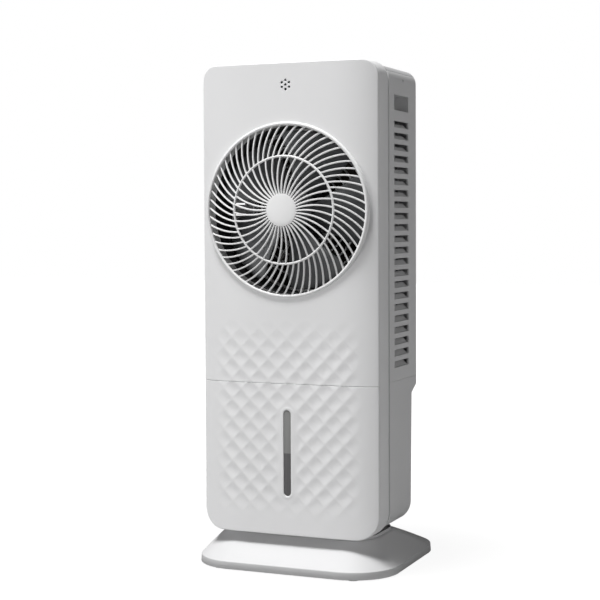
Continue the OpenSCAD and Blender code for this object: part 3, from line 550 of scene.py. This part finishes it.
window_clear = moulded_plastic("window_clear", (0.30, 0.30, 0.31), 0.45, 0.02)
wn = window_clear.node_tree
split = wn.nodes.new("ShaderNodeSeparateXYZ")
line = wn.nodes.new("ShaderNodeMapRange")
line.inputs["From Min"].default_value = window_level - 0.0008
line.inputs["From Max"].default_value = window_level + 0.0002
shade = wn.nodes.new("ShaderNodeMix")
shade.data_type = "RGBA"
shade.inputs["A"].default_value = (0.102, 0.100, 0.102, 1)
shade.inputs["B"].default_value = (0.222, 0.222, 0.218, 1)
window_place = next(n for n in wn.nodes if n.type == "TEX_COORD")
wire(wn, (window_place, "Object", split, "Vector"), (split, "Z", line, "Value"),
     (line, "Result", shade, "Factor"),
     (shade, "Result", wn.nodes["Principled BSDF"], "Base Color"))


def window_rings():
    """Insets and depths of the window's rings, from its rear edge to its crowned front,
    whose edge is a quarter circle of 0.8 mm."""
    inset, rear, front, crown = 0.0003, -0.112, -0.1155, 0.0008
    return [(inset, rear), (inset, front)] + [
        (inset + crown * (1 - math.cos(t)), front - crown * math.sin(t))
        for t in np.linspace(0.2, np.pi / 2, 6)]


window_path, window_normal = round_rect_path(*slot_half, 0.00599, 16, 10)
window_points = [
    np.insert(window_path - window_normal * inset + [0, window_level], 1, depth, axis=1)
    for inset, depth in window_rings()]
rows, cols = len(window_points), len(window_path)
window_faces = grid_faces(rows, cols, close_cols=True)
window_faces += [list(range((rows - 1) * cols, rows * cols)), list(range(cols))[::-1]]
window = surface_object("level_strip", window_points, window_faces, window_clear, 40)
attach(window, "cooler")
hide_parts("level_window")

# ---------- grille ----------
# One white moulding: a round outer ring with a tall wall, a middle ring, a hub under its
# cap, and two sets of curved spokes on a shallow dome, too close for a finger to pass.

ring_inner, ring_width = 0.1245, 0.005
ring_front, ring_rear = -0.120, -0.099
dome_radius, dome_tip = 0.43956, -0.136
spoke_arc, spoke_half = 0.104, (0.0013, 0.0018)
mid_radius, hub_radius = 0.079, 0.024


def dome_depth(radius):
    """Depth coordinate of the dome's front at a distance from its axis: a sphere."""
    return dome_tip + dome_radius - np.sqrt(dome_radius ** 2 - radius ** 2)


def spokes(count, centre, start, stop, steps=14):
    """Points and faces of one set of spokes. Each follows an arc of radius 104 mm about
    centre, in equal steps of distance from the axis, and carries an oval section 2.6 mm
    wide and 3.6 mm deep whose front touches the dome."""
    radius = np.linspace(start, stop, steps)
    reach = np.hypot(*centre)
    angle = math.atan2(centre[1], centre[0]) + np.arccos(
        (radius ** 2 + reach ** 2 - spoke_arc ** 2) / (2 * radius * reach))
    line = np.stack([radius * np.cos(angle), radius * np.sin(angle)], -1)
    across = (line - centre) / np.linalg.norm(line - centre, axis=1)[:, None]
    turn = np.linspace(0, 2 * np.pi, 8, endpoint=False) + np.pi / 8
    wide = np.sign(np.cos(turn)) * np.abs(np.cos(turn)) ** 0.7 * spoke_half[0]
    deep = np.sign(np.sin(turn)) * np.abs(np.sin(turn)) ** 0.7 * spoke_half[1]
    flat = line[:, None] + across[:, None] * wide[None, :, None]
    depth = dome_depth(radius)[:, None] + spoke_half[1] - deep[None]
    spin = np.arange(count) * 2 * np.pi / count
    c, s = np.cos(spin)[:, None, None], np.sin(spin)[:, None, None]
    x = flat[None, ..., 0] * c - flat[None, ..., 1] * s
    z = flat[None, ..., 0] * s + flat[None, ..., 1] * c
    points = np.stack([x, np.broadcast_to(depth, x.shape), z + fan_centre.z], -1)
    first = np.arange(count)[:, None, None] * steps * 8
    faces = (np.array(grid_faces(steps, 8, close_cols=True)) + first).reshape(-1, 4)
    return points.reshape(-1, 3), faces.tolist()


def revolved(section, turns):
    """Points and faces of a closed section of (radius, depth) pairs turned about the
    fan's axis."""
    section = np.asarray(section, float)
    spin = np.linspace(0, 2 * np.pi, turns, endpoint=False)
    x = np.cos(spin)[:, None] * section[None, :, 0]
    z = np.sin(spin)[:, None] * section[None, :, 0] + fan_centre.z
    y = np.broadcast_to(section[None, :, 1], x.shape)
    faces = grid_faces(turns, len(section), close_rows=True, close_cols=True)
    return np.stack([x, y, z], -1).reshape(-1, 3), faces


def spoke_centre(radius, lean):
    """Centre of the arc that leaves a radius at an angle to it."""
    return np.array([radius - spoke_arc * math.sin(math.radians(lean)),
                     -spoke_arc * math.cos(math.radians(lean))])


ring_round = ring_width / 2
outer_ring = [(ring_inner + ring_round - ring_round * math.cos(t),
               ring_front + ring_round - ring_round * math.sin(t))
              for t in np.linspace(0, np.pi, 13)]
outer_ring += [(ring_inner + ring_width, ring_rear), (ring_inner, ring_rear)]
mid_depth = float(dome_depth(mid_radius)) + 0.0018
mid_ring = [(mid_radius - 0.0018 * math.cos(t), mid_depth - 0.0021 * math.sin(t))
            for t in np.linspace(0, 2 * np.pi, 10, endpoint=False)]
hub_rise, hub_edge, hub_rear = 0.0003, float(dome_depth(hub_radius)), dome_tip + 0.0042
on_axis = 1e-5
hub = [(on_axis, dome_tip - hub_rise)]
hub += [(r, float(dome_depth(r)) - hub_rise) for r in np.linspace(0, hub_radius, 9)[1:-1]]
hub += [(hub_radius - 0.0002, hub_edge), (hub_radius, hub_edge + 0.0006),
        (hub_radius, hub_rear), (on_axis, hub_rear)]
grille_parts = [spokes(40, spoke_centre(0.036, 0), 0.0225, mid_radius),
                spokes(60, spoke_centre(mid_radius, 21), mid_radius, 0.1258),
                revolved(outer_ring, 180), revolved(mid_ring, 140), revolved(hub, 90)]
grille_white = moulded_plastic("grille_white", (0.82, 0.82, 0.82), 0.32)
grille = surface_object("spiral_grille", *joined(grille_parts), grille_white, 50)
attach(grille, "cooler")
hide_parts("front_grille", "hub_cap")

# ---------- fan ----------
# A dark moulding on the motor's shaft: five wide blades, slanted and cambered, on a
# round hub with a rolled front edge.

rotor_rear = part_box("fan_rotor")[1].y
rotor_depth = 0.034


def blade_grid(turn_by, radii=34, loop=44):
    """Closed skin of one blade as rings of points, one ring for each radius.

    A ring runs round the section: the place across goes from edge to edge and back as
    the cosine of t, the thickness follows a blunt oval, and the camber line is a parabola
    5 mm high. The section is turned by the pitch angle, wrapped round the axis, and swept
    back with the radius. The chord is 5 mm + 0.98 r, drawn in at the tip.
    """
    r = np.linspace(0.026, 0.119, radii)[:, None]
    t = np.linspace(0, 2 * np.pi, loop, endpoint=False)[None]
    chord = 0.005 + 0.98 * r
    pitch = np.arctan((rotor_depth - 0.008) / chord)
    tip = np.clip((r - 0.100) / 0.019, 0, 1)
    across = -0.5 * np.cos(t) * chord * (1 - 0.16 * tip ** 3)
    camber = 0.005 * (1 - (2 * across / chord) ** 2)
    thick = 0.0009 * np.sign(np.sin(t)) * np.abs(np.sin(t)) ** 0.5 * (1 - 0.9 * (r > 0.1188))
    lift = across * np.sin(pitch) + camber * np.cos(pitch) + thick
    angle = (across * np.cos(pitch) - camber * np.sin(pitch)) / r
    angle = angle + np.radians(120) * (r - 0.030) + turn_by
    points = np.stack([r * np.cos(angle), rotor_rear - rotor_depth / 2 - lift,
                       r * np.sin(angle) + fan_centre.z], -1)
    faces = grid_faces(radii, loop, close_cols=True)
    return points.reshape(-1, 3), faces + [list(range((radii - 1) * loop, radii * loop))]


rotor_front = rotor_rear - rotor_depth
rotor_radius, rotor_wall, rotor_round, bore = 0.030, 0.003, 0.0035, 0.0045
flat_radius, inner_front = rotor_radius - rotor_round, rotor_front + 0.004
rotor_hub = [(bore, rotor_front), (flat_radius, rotor_front)]
rotor_hub += [(flat_radius + rotor_round * math.sin(t),
               rotor_front + rotor_round * (1 - math.cos(t)))
              for t in np.linspace(0, np.pi / 2, 8)[1:]]
rotor_hub += [(rotor_radius, rotor_rear), (rotor_radius - rotor_wall, rotor_rear),
              (rotor_radius - rotor_wall, inner_front), (bore, inner_front)]
fan_dark = moulded_plastic("fan_dark", (0.085, 0.088, 0.092), 0.38, 0.05)
fan_parts = [blade_grid(math.radians(72 * k - 10)) for k in range(5)]
fan = surface_object("fan_blades", *joined(fan_parts + [revolved(rotor_hub, 90)]), fan_dark, 40)
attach(fan, "fan")
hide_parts("fan_rotor")

# ---------- duct, guard and motor ----------
# The fan turns in a black moulded duct. A white moulded guard behind it carries the
# painted motor, which steel screws hold.
duct_black = moulded_plastic("duct_black", (0.02, 0.02, 0.021), 0.55, 0.1, 0.0006)
guard_white = moulded_plastic("guard_white", (0.90, 0.90, 0.90), 0.4, 0.08, 0.0006)
motor_paint = moulded_plastic("motor_paint", (0.10, 0.10, 0.105), 0.45, 0.15, 0.001)
dress("fan_duct", duct_black)
dress("rear_guard", guard_white)
dress("fan_motor", motor_paint)
for node in ("fan_nut", "motor_shaft", "motor_screws"):
    dress(node, screw_steel)

# ---------- cabinet, tank housing and cap ----------
# Grey-white mouldings with a grain, a little duller than the covers: the cabinet with
# its louvres, the tank's housing below it, and a darker cap on top. The screws that
# hold the cabinet's sides are near-black: painted shade for the holes they sit in.
cabinet_grey = moulded_plastic("cabinet_grey", (0.74, 0.74, 0.745), 0.46, 0.10, 0.0016)
for node in ("cabinet", "lower_housing", "rear_grille", "pad_frame"):
    dress(node, cabinet_grey)
dress("top_cap", moulded_plastic("cap_grey", (0.50, 0.50, 0.505), 0.5, 0.10, 0.0016))
# near-black screw heads: painted shade for the recessed screw holes
dress("side_screws", moulded_plastic("screw_hole_painted_shade", (0.012, 0.012, 0.012), 0.7))
recess_grey = moulded_plastic("recess_grey", (0.70, 0.70, 0.705), 0.5, 0.1, 0.0008)
for node in ("left_grip_cup", "right_grip_cup", "tank_grip_cup"):
    dress(node, recess_grey)
for node in ("cord_inlet", "water_pump"):
    dress(node, duct_black)

# ---------- tank, trays, hose, pad and filter ----------
# Frosted plastic for what holds water, soft milky hose, ribbed brown paper for the pad
# and a dark mesh for the filter.
tank_frost = moulded_plastic("tank_frost", (0.70, 0.72, 0.73), 0.3, 0.06, 0.0012)
for node in ("water_tank", "drip_tray", "water_tray"):
    dress(node, tank_frost)
hose_milk = moulded_plastic("hose_milk", (0.66, 0.67, 0.68), 0.35, 0.03)
for node in ("supply_hose", "pump_riser"):
    dress(node, hose_milk)
pad_paper = moulded_plastic("pad_paper", (0.045, 0.036, 0.028), 0.8, 0.4)
dress("cooling_pad", pad_paper)
filter_mesh = moulded_plastic("filter_mesh", (0.05, 0.05, 0.055), 0.7, 0.3)
dress("dust_filter", filter_mesh)

# ---------- controls ----------
# Four push buttons and a dark display lens in a shallow pocket of the cap, over a
# green board, and a small board behind the round holes of the front cover.
key_grey = moulded_plastic("key_grey", (0.55, 0.55, 0.56), 0.3, 0.03, 0.0006)
for node in ("power_button", "speed_button", "cool_button", "timer_button"):
    dress(node, key_grey)
lens_black = moulded_plastic("lens_black", (0.012, 0.012, 0.014), 0.12, 0.01)
dress("display_lens", lens_black)
board_green = moulded_plastic("board_green", (0.02, 0.10, 0.05), 0.4, 0.05)
for node in ("control_board", "receiver_board"):
    dress(node, board_green)
